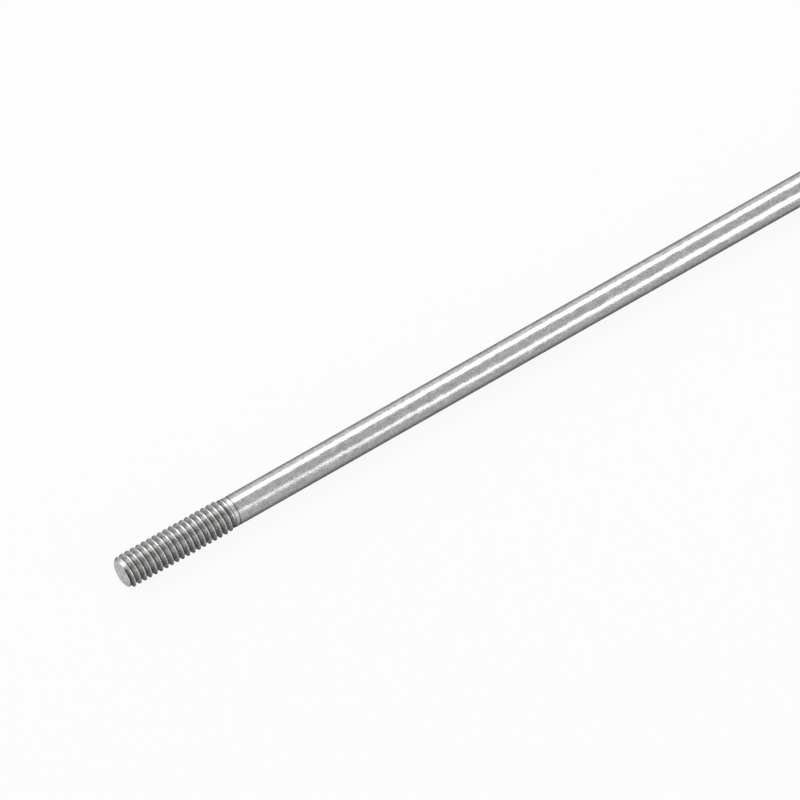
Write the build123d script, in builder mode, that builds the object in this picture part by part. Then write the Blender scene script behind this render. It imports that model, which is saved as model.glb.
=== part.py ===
from build123d import *
import os
from math import ceil, radians, tan

# Double ended stud, M4 x 0.7, made from one length of stainless wire.
# Each end carries a rolled right-hand thread. The plain shank between them keeps
# the wire's own size, which is close to the thread's pitch diameter.
# The stud lies along X, with the origin at its middle.

# ---- driving dimensions, in millimetres ----
stud_length = 150.0
shank_d = 3.44

thread_d = 3.85           # over the crests
thread_pitch = 0.7
flank_angle = 60          # between the two flanks of a groove, in degrees
thread_length = 15.0      # from the end face to the last trace of the thread
runout_length = 2.35      # the part of it where the thread fades into the shank
end_chamfer = 0.32        # at 45 degrees, from the crests to the end face

crest_share = 1 / 8       # flat left on a crest, as a share of the pitch
mouth_over = 0.05         # how far the groove is cut above the crests
runout_over = 0.03        # how far the groove's bottom has cleared the shank at its end
sweep_turns = 7           # turns of the groove cut at a time, so that its faces stay light

# ---- the groove, worked out from the sizes above ----
half_flank = radians(flank_angle / 2)
sharp_height = thread_pitch / (2 * tan(half_flank))
groove_depth = sharp_height * (1 - crest_share)
groove_r = thread_d / 2 - groove_depth
mouth_height = groove_depth + mouth_over
mouth_half = mouth_height * tan(half_flank)
runout_rise = shank_d / 2 + runout_over - groove_r

end_x = stud_length / 2
shank_end_x = end_x - thread_length
full_thread_x = shank_end_x + runout_length
# enough stretches for at least one turn in the air beyond the end face
sweep_length = sweep_turns * thread_pitch
sweep_count = ceil((thread_length - runout_length + thread_pitch) / sweep_length)


# A stretch of the groove's helix, running towards +X from the place given.
def groove_helix(start_x, length):
    with BuildLine() as helix:
        Helix(
            thread_pitch,
            length,
            groove_r,
            center=(start_x, 0, 0),
            direction=(1, 0, 0),
        )
    return helix.line


# The groove's section, square to its helix at one end of it, lifted off its bottom.
def groove_section(helix, at, lift):
    outward = Vector(0, (helix @ at).Y, (helix @ at).Z)
    with BuildSketch(Plane(helix @ at, x_dir=outward, z_dir=helix % at)) as section:
        with BuildLine():
            Polyline(
                (lift, 0),
                (lift + mouth_height, -mouth_half),
                (lift + mouth_height, mouth_half),
                close=True,
            )
        make_face()
    return section.sketch


# ---- the threaded end at -X ----
full_helices = [
    groove_helix(-full_thread_x - (stretch + 1) * sweep_length, sweep_length)
    for stretch in range(sweep_count)
]
fading_helix = groove_helix(-full_thread_x, runout_length)

with BuildPart() as threaded_end:
    # plain, at the size of the crests
    with BuildSketch(Plane.XZ):
        with Locations((-end_x + thread_length / 2, thread_d / 4)):
            Rectangle(thread_length, thread_d / 2)
    revolve(axis=Axis.X)
    # the groove at its full depth, out beyond the end face
    for helix in full_helices:
        sweep(
            sections=groove_section(helix, 0, 0),
            path=helix,
            is_frenet=True,
            mode=Mode.SUBTRACT,
        )
    # the groove fading out, as it climbs until it has left the shank
    sweep(
        sections=[
            groove_section(fading_helix, 0, 0),
            groove_section(fading_helix, 1, runout_rise),
        ],
        path=fading_helix,
        multisection=True,
        is_frenet=True,
        mode=Mode.SUBTRACT,
    )
    # turned to its outline: chamfer, crests, and the cone down to the shank
    with BuildSketch(Plane.XZ):
        with BuildLine():
            Polyline(
                (-end_x, 0),
                (-end_x, thread_d / 2 - end_chamfer),
                (-end_x + end_chamfer, thread_d / 2),
                (-full_thread_x, thread_d / 2),
                (-shank_end_x, shank_d / 2),
                (-shank_end_x, 0),
                close=True,
            )
        make_face()
    revolve(axis=Axis.X, mode=Mode.INTERSECT)

# ---- the stud: the shank, with a threaded end at each side ----
with BuildPart() as stud:
    with BuildSketch(Plane.YZ):
        Circle(shank_d / 2)
    extrude(amount=shank_end_x, both=True)
    # turned end for end, the second thread is right-handed too
    with Locations(Location((0, 0, 0)), Location((0, 0, 0), (0, 0, 180))):
        add(threaded_end.part)

stud.part.label = "stud"
os.makedirs("parts", exist_ok=True)
export_step(stud.part, "parts/stud.step")
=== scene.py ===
from math import radians
import bpy
import numpy as np
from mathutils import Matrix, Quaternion, Vector


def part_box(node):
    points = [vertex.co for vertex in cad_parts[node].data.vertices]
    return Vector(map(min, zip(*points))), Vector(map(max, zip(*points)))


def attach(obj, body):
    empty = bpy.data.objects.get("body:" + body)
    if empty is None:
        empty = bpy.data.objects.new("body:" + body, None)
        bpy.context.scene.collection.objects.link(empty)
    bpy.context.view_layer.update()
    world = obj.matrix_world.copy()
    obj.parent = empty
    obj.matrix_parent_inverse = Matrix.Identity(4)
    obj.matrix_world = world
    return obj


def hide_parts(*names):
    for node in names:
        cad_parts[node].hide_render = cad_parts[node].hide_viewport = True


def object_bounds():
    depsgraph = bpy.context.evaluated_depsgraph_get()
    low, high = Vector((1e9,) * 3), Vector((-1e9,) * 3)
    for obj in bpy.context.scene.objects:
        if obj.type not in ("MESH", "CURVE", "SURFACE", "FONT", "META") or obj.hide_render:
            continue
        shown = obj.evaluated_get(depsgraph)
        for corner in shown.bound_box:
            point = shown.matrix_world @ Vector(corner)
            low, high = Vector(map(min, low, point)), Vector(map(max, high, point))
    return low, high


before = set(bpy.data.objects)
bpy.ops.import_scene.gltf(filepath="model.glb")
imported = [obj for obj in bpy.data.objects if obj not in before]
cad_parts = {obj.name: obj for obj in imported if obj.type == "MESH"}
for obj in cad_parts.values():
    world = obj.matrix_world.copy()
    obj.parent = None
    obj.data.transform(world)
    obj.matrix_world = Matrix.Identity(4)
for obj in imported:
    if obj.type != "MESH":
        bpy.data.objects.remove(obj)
cadLow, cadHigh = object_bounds()
print("frame loaded")

mm = 0.001
scene = bpy.context.scene

# the stud's length and its size over the crests come from the frame
studLow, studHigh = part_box("stud")
halfLength = (studHigh.x - studLow.x) / 2
crestRadius = (studHigh.z - studLow.z) / 2

cameraSet = {
    "azimuth": -34.5,              # degrees, 0 looks along +Y
    "elevation": 55.5,             # degrees above level
    "distance": 1400 * mm,         # to the plane of the near tip
    "lens": 586.0,
    "sensor": 36.0,
    "tipAcross": -0.3480,          # where the near tip stands, in frame widths from the centre
    "tipUp": -0.2172,
    "clip": (0.01, 20.0),          # metres, near and far
}


def makeCamera():
    # The camera looks along one direction, and slides across it until the near tip
    # stands at its place in the frame.
    azimuth = radians(cameraSet["azimuth"])
    elevation = radians(cameraSet["elevation"])
    right = Vector((np.cos(azimuth), np.sin(azimuth), 0))
    ahead = Vector((
        -np.sin(azimuth) * np.cos(elevation),
        np.cos(azimuth) * np.cos(elevation),
        -np.sin(elevation),
    ))
    up = right.cross(ahead)
    data = bpy.data.cameras.new("camera")
    data.lens, data.sensor_width = cameraSet["lens"], cameraSet["sensor"]
    data.clip_start, data.clip_end = cameraSet["clip"]
    camera = bpy.data.objects.new("camera", data)
    scene.collection.objects.link(camera)
    width = cameraSet["distance"] * data.sensor_width / data.lens
    tip = Vector((-halfLength, 0, 0))
    acrossTo = right * cameraSet["tipAcross"] * width
    upTo = up * cameraSet["tipUp"] * width
    camera.location = tip - ahead * cameraSet["distance"] - acrossTo - upTo
    camera.rotation_mode = "QUATERNION"
    camera.rotation_quaternion = ahead.to_track_quat("-Z", "Y")
    scene.camera = camera


makeCamera()
print("camera placed")

stud = {
    "shankRadius": 1.72 * mm,
    "pitch": 0.7 * mm,
    "threadLength": 13.75 * mm,    # end face to the last trace of the thread
    "runout": 1.1 * mm,            # the part of it where the thread fades
    "runoutPower": 0.6,            # under 1, it fades late
    "chamfer": 0.37 * mm,          # how far the end face's edge is inside the crests
    "chamferLength": 0.45 * mm,
    "flank": 30.0,                 # degrees, each flank to the plane across the axis
    "crestShare": 1 / 8,           # flat left on a crest, as a share of the pitch
    "crestRound": 0.07 * mm,       # softness of the crest's corners
    "rootRound": 0.14 * mm,        # softness of the groove's bottom
    "start": 0.571,                # turns the thread's start round the axis, in turns
    "runInFrom": 0.02 * mm,        # how far behind the end face the groove starts
    "runInLength": 0.08 * mm,      # and how much further it is at its full depth
    "markPlaces": (13.77 * mm, 14.36 * mm),    # where the dies ended, from the end face
    "markWidth": 0.09 * mm,
    "markDepth": 0.03 * mm,
    "markSway": 0.03 * mm,         # how far a mark strays along the shank
    "markUneven": 0.3,             # the share of its depth that comes and goes
    "pastThread": 1.25 * mm,       # how far the thread's grid runs on past the thread
    "perPitch": 16,                # grid columns in one pitch
    "perTurn": 90,                 # grid rows round the axis
    "crowding": 0.11,              # draws the columns together at crests and roots
    "shankColumns": 118,
    "weld": 1e-4 * mm,             # points nearer to each other than this become one
    "sharpFrom": 38.0,             # degrees between two faces; below it they shade smooth
}


def threadRadius(x, turn):
    # Radius of a 60 degree thread at depth x behind the end face. The place in the
    # pitch is x less one pitch a turn, and a groove's middle is halfway. Straight
    # flanks rise from there, and hyperbolas round them into the root below and the
    # crest above. The groove deepens evenly as its middle leaves the end face.
    groove = (x / stud["pitch"] - turn - stud["start"]) % 1.0
    away = np.abs(groove - 0.5) * stud["pitch"]
    slope = 1 / np.tan(radians(stud["flank"]))
    depth = stud["pitch"] / 2 * slope * (1 - stud["crestShare"])
    rise = away * slope
    rise = (rise + np.sqrt(rise**2 + stud["rootRound"] ** 2)) / 2
    under = depth - rise
    under = (under + np.sqrt(under**2 + stud["crestRound"] ** 2)) / 2
    middle = x - (groove - 0.5) * stud["pitch"]
    return crestRadius - under * np.clip((middle - stud["runInFrom"]) / stud["runInLength"], 0, 1)


def fade(x):
    # 1 along the full thread, falling to 0 over the run-out as a power of what is left.
    return np.clip((stud["threadLength"] - x) / stud["runout"], 0, 1) ** stud["runoutPower"]


def dieMarks(x, turn):
    # Depth of two shallow marks round the shank, where the rolling dies ended. Each
    # is a bell curve along the shank. Its place sways as a sine of two waves a turn,
    # and its depth varies as a product of two sines, of five and nine waves.
    depth = 0
    for number, place in enumerate(stud["markPlaces"]):
        sway = stud["markSway"] * np.sin(2 * np.pi * (2 * turn + 0.3 * number))
        bell = np.exp(-(((x - place - sway) / stud["markWidth"]) ** 2))
        uneven = np.sin(2 * np.pi * (5 * turn + 0.4 * number)) * np.sin(2 * np.pi * (9 * turn + 0.15))
        share = 1 - stud["markUneven"] + stud["markUneven"] * uneven
        depth = depth + stud["markDepth"] * bell * share
    return depth


def studRadius(x, turn):
    # The thread's radius, faded to the shank's, less the die marks, and never outside
    # the chamfer's cone.
    radius = stud["shankRadius"] + (threadRadius(x, turn) - stud["shankRadius"]) * fade(x)
    radius = radius - dieMarks(x, turn)
    cone = crestRadius - stud["chamfer"] * (1 - np.maximum(x, 0) / stud["chamferLength"])
    return np.minimum(radius, cone)


def quads(*corners):
    # Four-cornered faces, from four arrays of point numbers.
    return np.stack(corners, axis=-1).reshape(-1, 4)


def threadedEnd():
    # One end as a surface of two parameters: column and row. A row is an angle
    # round the axis, and a column is a depth that gains one pitch in a turn, so
    # that columns run along the thread. After a turn, column c meets column
    # c + perPitch. Depths before the end face fold onto it and run in to its
    # centre; depths past the die marks stop at the first ring of the shank's tube.
    perPitch, perTurn = stud["perPitch"], stud["perTurn"]
    lead = 3                       # pitches of the grid before the end face
    spare = 3                      # pitches of it past its end, as columns slant
    gridEnd = stud["threadLength"] + stud["pastThread"]
    columnCount = (int(np.ceil(gridEnd / stud["pitch"])) + lead + spare) * perPitch
    column, row = np.meshgrid(np.arange(columnCount), np.arange(perTurn), indexing="ij")
    pitches = column / perPitch
    pitches = pitches - stud["crowding"] * np.sin(4 * np.pi * pitches) / np.pi
    turn = row / perTurn
    x = (pitches - lead + turn + stud["start"]) * stud["pitch"]
    # in each row, the nearest points move onto the chamfer's two edges
    for edge in (0.0, stud["chamferLength"]):
        nearest = np.abs(x - edge).argmin(axis=0)
        x[nearest, np.arange(perTurn)] = edge
    inward = np.clip(-x / stud["pitch"], 0, 1)
    x = np.clip(x, 0, gridEnd)
    radius = np.where(x < gridEnd, studRadius(x, turn), stud["shankRadius"]) * (1 - inward)
    angle = 2 * np.pi * turn
    points = np.stack([x - halfLength, -radius * np.sin(angle), radius * np.cos(angle)], axis=-1)
    index = column * perTurn + row
    faces = quads(index[:-1, :-1], index[:-1, 1:], index[1:, 1:], index[1:, :-1])
    # the last row joins the first one, a pitch further on
    last, first = index[:, -1], index[perPitch:, 0]
    seam = quads(last[:-perPitch - 1], first[:-1], first[1:], last[1:-perPitch])
    return points.reshape(-1, 3), np.concatenate([faces, seam])


def shankTube():
    # A plain tube between the two threaded ends, on the same rows.
    perTurn = stud["perTurn"]
    reach = halfLength - stud["threadLength"] - stud["pastThread"]
    places = np.linspace(-reach, reach, stud["shankColumns"] + 1)
    x, row = np.meshgrid(places, np.arange(perTurn), indexing="ij")
    angle = 2 * np.pi * row / perTurn
    radius = stud["shankRadius"]
    points = np.stack([x, -radius * np.sin(angle), radius * np.cos(angle)], axis=-1)
    index = np.arange(x.size).reshape(x.shape)
    beside = np.roll(index, -1, axis=1)
    faces = quads(index[:-1], beside[:-1], beside[1:], index[1:])
    return points.reshape(-1, 3), faces


def meshOf(name, points, faces):
    # Points at the same place become one. A corner that repeats the one before it
    # goes, and so does a face that is left with fewer than three corners.
    keys = np.round(points / stud["weld"]).astype(np.int64)
    _, firstAt, sameAs = np.unique(keys, axis=0, return_index=True, return_inverse=True)
    faces = sameAs.reshape(-1)[faces]
    kept = faces != np.roll(faces, 1, axis=1)
    whole = kept.sum(axis=1) > 2
    faces, kept = faces[whole], kept[whole]
    corners = faces[kept]
    sizes = kept.sum(axis=1)
    mesh = bpy.data.meshes.new(name)
    mesh.vertices.add(len(firstAt))
    mesh.vertices.foreach_set("co", points[firstAt].ravel())
    mesh.loops.add(len(corners))
    mesh.loops.foreach_set("vertex_index", corners)
    mesh.polygons.add(len(sizes))
    mesh.polygons.foreach_set("loop_start", np.cumsum(sizes) - sizes)
    mesh.update(calc_edges=True)
    mesh.validate()
    return mesh


def makeStud():
    # One closed mesh of the two threaded ends and the shank between them.
    near, nearFaces = threadedEnd()
    far = near * np.array([-1, -1, 1])       # turned end for end about Z
    shank, shankFaces = shankTube()
    points = np.concatenate([near, far, shank])
    faces = np.concatenate([nearFaces, nearFaces + len(near), shankFaces + 2 * len(near)])
    mesh = meshOf("steelStud", points, faces)
    mesh.shade_smooth()
    mesh.set_sharp_from_angle(angle=radians(stud["sharpFrom"]))
    piece = bpy.data.objects.new("steelStud", mesh)
    scene.collection.objects.link(piece)
    return piece


steelStud = makeStud()
print("stud made:", len(steelStud.data.polygons), "faces")


def addNode(tree, kind, values, **settings):
    # One shader node. A value that is a socket is linked, any other is set.
    node = tree.nodes.new("ShaderNode" + kind)
    for name, value in settings.items():
        setattr(node, name, value)
    for name, value in values.items():
        if isinstance(value, bpy.types.NodeSocket):
            tree.links.new(value, node.inputs[name])
        else:
            node.inputs[name].default_value = value
    return node


def calc(tree, operation, *values):
    # A Math node on up to three values or sockets.
    return addNode(tree, "Math", dict(enumerate(values)), operation=operation).outputs[0]


def product(tree, first, *others):
    # All of the values or sockets multiplied together.
    for other in others:
        first = calc(tree, "MULTIPLY", first, other)
    return first


def ramp(tree, value, low, high, atLow, atHigh):
    # A smooth step from one value to another.
    values = {"Value": value, "From Min": low, "From Max": high, "To Min": atLow, "To Max": atHigh}
    return addNode(tree, "MapRange", values, interpolation_type="SMOOTHSTEP").outputs[0]


def spread(tree, pattern, low, high):
    # A noise keeps mostly to the range from 0.3 to 0.7, which is stretched to low and high.
    return ramp(tree, pattern, 0.3, 0.7, low, high)


def scaled(tree, mask, inside):
    # 1 outside a mask and the factor given inside it.
    return ramp(tree, mask, 0, 1, 1, inside)


def noise(tree, place, stretch, size, detail, roughness):
    # Noise with cells of the size given, drawn out along the stud by the stretch.
    drawnOut = addNode(tree, "Mapping", {"Vector": place, "Scale": (1 / stretch, 1, 1)})
    values = {"Vector": drawnOut.outputs[0], "Scale": 1 / size, "Detail": detail, "Roughness": roughness}
    return addNode(tree, "TexNoise", values).outputs[0]


steel = {
    "tint": (1.0, 1.0, 0.99),
    "edge": (0.35, 0.35, 0.35, 1),  # the dip in reflectance at a grazing angle
    "bright": 0.46,                # reflectance of the clean metal
    "crestHighlight": 0.62,           # reflectance raised on the crests: a painted highlight
    "sawnFaceAndLight": 0.8,             # the sawn end face: partly its cut finish, partly painted light where it catches the lamps
    "mottled": (0.86, 1.11),       # factors where the mottle is dark and where it is bright
    "lined": (0.975, 1.025),       # the same for the drawn lines
    "grained": (0.8, 1.2),         # and for the grain
    "grooveShade": 0.95,            # factor at the bottom of a groove: painted shade
    "markDark": 0.45,              # factor in the die marks and in the first groove
    "pitDark": 0.72,               # factor in a pit
    "roughness": (0.15, 0.25),     # where the mottle is dark and where it is bright
    "scratchLevel": (0.66, 0.74),  # how high its noise is where a scratch starts and is full
    "pitSize": 0.34 * mm,
    "pitAlong": 0.6,               # under 1, pits are drawn out along the stud
    "pitReach": (0.1, 0.26),       # a pit's floor and rim, as shares of the pit size
    "pittedLevel": (0.46, 0.62),   # how high its noise is where pits start and are full
    "sawnSize": 0.05 * mm,
}

# the noises: the size of their cells, and how far those are drawn out along the stud
steelNoise = {
    "mottle": {"size": 0.42 * mm, "stretch": 2.2, "detail": 4.0, "roughness": 0.62},
    "drawn": {"size": 0.10 * mm, "stretch": 30.0, "detail": 3.0, "roughness": 0.6},
    "grain": {"size": 0.13 * mm, "stretch": 1.4, "detail": 2.0, "roughness": 0.6},
    "wave": {"size": 1.5 * mm, "stretch": 4.0, "detail": 1.0, "roughness": 0.5},
    "scratch": {"size": 0.06 * mm, "stretch": 70.0, "detail": 1.0, "roughness": 0.5},
    "pitted": {"size": 1.1 * mm, "stretch": 3.0, "detail": 2.0, "roughness": 0.5},
}

# what each mask or pattern adds to the roughness
steelRough = {"drawn": 0.04, "onFace": 0.2, "byMarks": 0.16, "inGroove": 0.1, "pit": 0.15}

# how high each pattern stands, in millimetres
steelHeight = {
    "mottle": 0.011,
    "drawn": 0.0016,
    "grain": 0.006,
    "scuff": 0.014,
    "wave": 0.006,
    "scratch": -0.0012,
    "pit": -0.005,
    "sawn": 0.0015,
}

# where the soft edge of each mask starts and ends
maskEdges = {
    "onFace": (0.004 * mm, 0.012 * mm),       # in from the end face
    "firstTurn": (0.4 * mm, 0.55 * mm),       # in from the end face
    "onThread": (-0.8 * mm, 0.0),             # past the last trace of the thread
    "onCrest": (0.0, 0.05 * mm),              # below the crests
    "inGroove": (0.06 * mm, 0.3 * mm),        # below the crests and the chamfer
    "firstGroove": (0.03 * mm, 0.12 * mm),    # below the crests and the chamfer
    "inMark": (0.003 * mm, 0.011 * mm),       # below the shank's surface
    "byThread": (0.9 * mm, 1.2 * mm),         # from the inner mark towards the end
    "scuffed": (-0.25 * mm, 0.1 * mm),        # from the inner mark towards the end
    "byMarks": (0.2 * mm, 0.45 * mm),         # either way from halfway between the marks
}


def steelMasks(tree, place):
    # Each mask is 1 on its part of the stud and 0 off it. It follows the point's
    # distance from the end face, the thread, the crests, the shank or the marks.
    split = addNode(tree, "SeparateXYZ", {"Vector": place})
    along = calc(tree, "ABSOLUTE", split.outputs["X"])
    across = addNode(tree, "VectorMath", {0: place, 1: (0, 1, 1)}, operation="MULTIPLY").outputs[0]
    radius = addNode(tree, "VectorMath", {0: across}, operation="LENGTH").outputs["Value"]

    # along the stud
    behind = calc(tree, "SUBTRACT", halfLength, along)
    pastThread = calc(tree, "SUBTRACT", behind, stud["threadLength"])
    onFace = ramp(tree, behind, *maskEdges["onFace"], 1, 0)
    offFace = ramp(tree, behind, *maskEdges["onFace"], 0, 1)
    onThread = ramp(tree, pastThread, *maskEdges["onThread"], 1, 0)
    firstTurn = ramp(tree, behind, *maskEdges["firstTurn"], 1, 0)

    # in towards its axis
    slope = stud["chamfer"] / stud["chamferLength"]
    cone = calc(tree, "MULTIPLY_ADD", behind, slope, crestRadius - stud["chamfer"])
    below = calc(tree, "SUBTRACT", calc(tree, "MINIMUM", cone, crestRadius), radius)
    belowCrest = calc(tree, "SUBTRACT", crestRadius, radius)
    belowShank = calc(tree, "SUBTRACT", stud["shankRadius"], radius)
    sunk = ramp(tree, below, *maskEdges["inGroove"], 0, 1)
    sunkAtFirst = ramp(tree, below, *maskEdges["firstGroove"], 0, 1)
    high = ramp(tree, belowCrest, *maskEdges["onCrest"], 1, 0)
    marked = ramp(tree, belowShank, *maskEdges["inMark"], 0, 1)

    # about the die marks
    outerMark, innerMark = stud["markPlaces"]
    fromMark = calc(tree, "SUBTRACT", innerMark, behind)
    fromMiddle = calc(tree, "SUBTRACT", fromMark, (innerMark - outerMark) / 2)
    fromMiddle = calc(tree, "ABSOLUTE", fromMiddle)
    byThread = ramp(tree, fromMark, *maskEdges["byThread"], 1, 0)
    return {
        "radius": radius,
        "onFace": onFace,
        "onCrest": product(tree, high, onThread),
        "inGroove": product(tree, sunk, onThread, offFace),
        "firstGroove": product(tree, sunkAtFirst, firstTurn, offFace),
        "inMark": product(tree, marked, byThread),
        "scuffed": ramp(tree, fromMark, *maskEdges["scuffed"], 0, 1),
        "byMarks": ramp(tree, fromMiddle, *maskEdges["byMarks"], 1, 0),
    }


def steelPatterns(tree, place, masks):
    # Noises over the metal. Scratches are the highest lines of one. Pits are the
    # middles of some Voronoi cells. Scuffs are grain beside the marks and on the
    # thread. The saw's rings are a noise of the radius.
    found = {name: noise(tree, place, **values) for name, values in steelNoise.items()}
    found["scratch"] = ramp(tree, found["scratch"], *steel["scratchLevel"], 0, 1)
    found["scuff"] = product(tree, found["grain"], masks["scuffed"])

    drawnOut = addNode(tree, "Mapping", {"Vector": place, "Scale": (steel["pitAlong"], 1, 1)})
    cells = addNode(tree, "TexVoronoi", {"Vector": drawnOut.outputs[0], "Scale": 1 / steel["pitSize"]})
    dent = ramp(tree, cells.outputs["Distance"], *steel["pitReach"], 1, 0)
    found["pit"] = product(tree, dent, ramp(tree, found["pitted"], *steel["pittedLevel"], 0, 1))

    values = {"W": masks["radius"], "Scale": 1 / steel["sawnSize"], "Detail": 2.0}
    rings = addNode(tree, "TexNoise", values, noise_dimensions="1D").outputs[0]
    found["sawn"] = product(tree, rings, masks["onFace"])
    return found


def steelBrightness(tree, found):
    # The clean metal's reflectance, times a factor for each mask and pattern.
    return product(
        tree,
        steel["bright"],
        spread(tree, found["mottle"], *steel["mottled"]),
        spread(tree, found["drawn"], *steel["lined"]),
        spread(tree, found["grain"], *steel["grained"]),
        # painted highlight on the crests
        scaled(tree, found["onCrest"], steel["crestHighlight"] / steel["bright"]),
        # the sawn end face, brightened partly by painted light
        scaled(tree, found["onFace"], steel["sawnFaceAndLight"] / steel["bright"]),
        # painted shade at the bottoms of the grooves
        scaled(tree, found["inGroove"], steel["grooveShade"]),
        scaled(tree, found["inMark"], steel["markDark"]),
        scaled(tree, found["firstGroove"], steel["markDark"]),
        scaled(tree, found["pit"], steel["pitDark"]),
    )


def addUp(tree, total, found, amounts):
    # Adds to the total each mask or pattern that is named, times its amount.
    for name, amount in amounts.items():
        total = calc(tree, "MULTIPLY_ADD", found[name], amount, total)
    return total


def steelMaterial():
    # Drawn stainless wire: fine lines along it, a cloudy mottle, small pits and a
    # slow waviness. The grooves are darker and rougher, with painted shade at their
    # bottoms; the crests carry a painted highlight; and the end faces are sawn and
    # partly brightened by painted light.
    material = bpy.data.materials.new("drawnSteel")
    material.use_nodes = True
    tree = material.node_tree
    shader = tree.nodes["Principled BSDF"]
    place = addNode(tree, "TexCoord", {}).outputs["Object"]
    found = steelMasks(tree, place)
    found.update(steelPatterns(tree, place, found))

    bright = steelBrightness(tree, found)
    colour = addNode(tree, "VectorMath", {0: steel["tint"], "Scale": bright}, operation="SCALE")
    rough = addUp(tree, spread(tree, found["mottle"], *steel["roughness"]), found, steelRough)
    height = addUp(tree, 0.0, found, steelHeight)
    relief = addNode(tree, "Bump", {"Strength": 1.0, "Distance": 1 * mm, "Height": height})
    tree.links.new(colour.outputs[0], shader.inputs["Base Color"])
    tree.links.new(rough, shader.inputs["Roughness"])
    tree.links.new(relief.outputs[0], shader.inputs["Normal"])
    shader.inputs["Metallic"].default_value = 1.0
    shader.inputs["Specular Tint"].default_value = steel["edge"]
    return material


steelStud.data.materials.append(steelMaterial())
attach(steelStud, "root")
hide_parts("stud")
print("material made")

floorSet = {
    "reach": 3.0,                  # metres from the middle to each side
    "gap": 0.02 * mm,              # under the stud
    "colour": (0.5, 0.5, 0.5, 1),
    "whiteShare": 0.92,            # the share of plain white where the floor is seen
    "metalShare": 0.12,            # the same, where it is seen in the metal
}


def makeFloor():
    # A flat pale floor. Where it is seen, itself or in the metal, a share of it is
    # plain white, and the rest is lit and keeps the stud's shadow.
    mesh = bpy.data.meshes.new("floor")
    reach, z = floorSet["reach"], cadLow.z - floorSet["gap"]
    corners = [(-reach, -reach, z), (reach, -reach, z), (reach, reach, z), (-reach, reach, z)]
    mesh.from_pydata(corners, [], [(0, 1, 2, 3)])
    floor = bpy.data.objects.new("floor", mesh)
    scene.collection.objects.link(floor)
    material = bpy.data.materials.new("paleFloor")
    material.use_nodes = True
    tree = material.node_tree
    path = addNode(tree, "LightPath", {}).outputs
    seen = calc(tree, "MAXIMUM", path["Is Camera Ray"], path["Is Transmission Ray"])
    inMetal = calc(tree, "MULTIPLY", path["Is Glossy Ray"], floorSet["metalShare"])
    share = calc(tree, "MAXIMUM", calc(tree, "MULTIPLY", seen, floorSet["whiteShare"]), inMetal)
    lit = addNode(tree, "BsdfDiffuse", {"Color": floorSet["colour"]}).outputs[0]
    white = addNode(tree, "Emission", {"Strength": 1.0}).outputs[0]
    mixed = addNode(tree, "MixShader", {0: share, 1: lit, 2: white}).outputs[0]
    tree.links.new(mixed, tree.nodes["Material Output"].inputs["Surface"])
    mesh.materials.append(material)


makeFloor()
print("floor laid")

worldSet = {"colour": (0.79, 0.79, 0.79, 1), "strength": 1.0}


def makeWorld():
    # An even pale grey all round.
    world = bpy.data.worlds.new("studio")
    scene.world = world
    world.use_nodes = True
    background = world.node_tree.nodes["Background"]
    background.inputs["Color"].default_value = worldSet["colour"]
    background.inputs["Strength"].default_value = worldSet["strength"]


makeWorld()

# The lamps along the stud. Elevations are in degrees from -Y up over to +Y. A lamp is
# as long as said along X and as wide across it, in metres. Brightness is that of its
# face, where 1 is white.
lamps = {
    "backLamp": {"elevation": 125.0, "length": 1.2, "width": 0.29, "brightness": 3.6},
    "rearLamp": {"elevation": 162.0, "length": 1.6, "width": 0.30, "brightness": 0.4},
    "frontLamp": {"elevation": 34.5, "length": 1.2, "width": 0.08, "brightness": 1.35},
    "sideLamp": {
        "elevation": 24.0,
        "length": 0.2,
        "width": 0.20,
        "brightness": 2.6,
        "along": 0.183,
        "distance": 0.3,
        "turned": 45.0,            # degrees about the direction it shines in
    },
}

# a square lamp off the near tip, that catches the chamfer and the crests
tipLamp = {
    "towards": (-0.77, 0.39, 0.5),
    "distance": 0.6,
    "size": 0.4,
    "brightness": 1.3,
}


def makeLamp(name, place, aim, length, width, turned, brightness):
    # A rectangular lamp, shining along its aim. Its power goes with its area, which
    # gives its face the brightness at any size.
    data = bpy.data.lights.new(name, "AREA")
    data.shape, data.size, data.size_y = "RECTANGLE", length, width
    data.energy = brightness * np.pi * length * width
    lamp = bpy.data.objects.new(name, data)
    lamp.location = place
    lamp.rotation_mode = "QUATERNION"
    lamp.rotation_quaternion = aim.to_track_quat("-Z", "Y") @ Quaternion((0, 0, 1), radians(turned))
    scene.collection.objects.link(lamp)


def addLamp(name, elevation, length, width, brightness, along=0.05, distance=0.6, turned=0.0):
    # A lamp that shines squarely at the stud's line from its elevation and distance.
    # Along is its place on X.
    angle = radians(elevation)
    aim = Vector((0, np.cos(angle), -np.sin(angle)))
    place = Vector((along, 0, 0)) - aim * distance
    makeLamp(name, place, aim, length, width, turned, brightness)


def addTipLamp():
    # Its direction and distance are from the near tip.
    direction = Vector(tipLamp["towards"]).normalized()
    place = Vector((-halfLength, 0, 0)) + direction * tipLamp["distance"]
    makeLamp("tipLamp", place, -direction, tipLamp["size"], tipLamp["size"], 0.0, tipLamp["brightness"])


for name, values in lamps.items():
    addLamp(name, **values)
addTipLamp()
scene.view_settings.view_transform = "Standard"
print("lamps set")
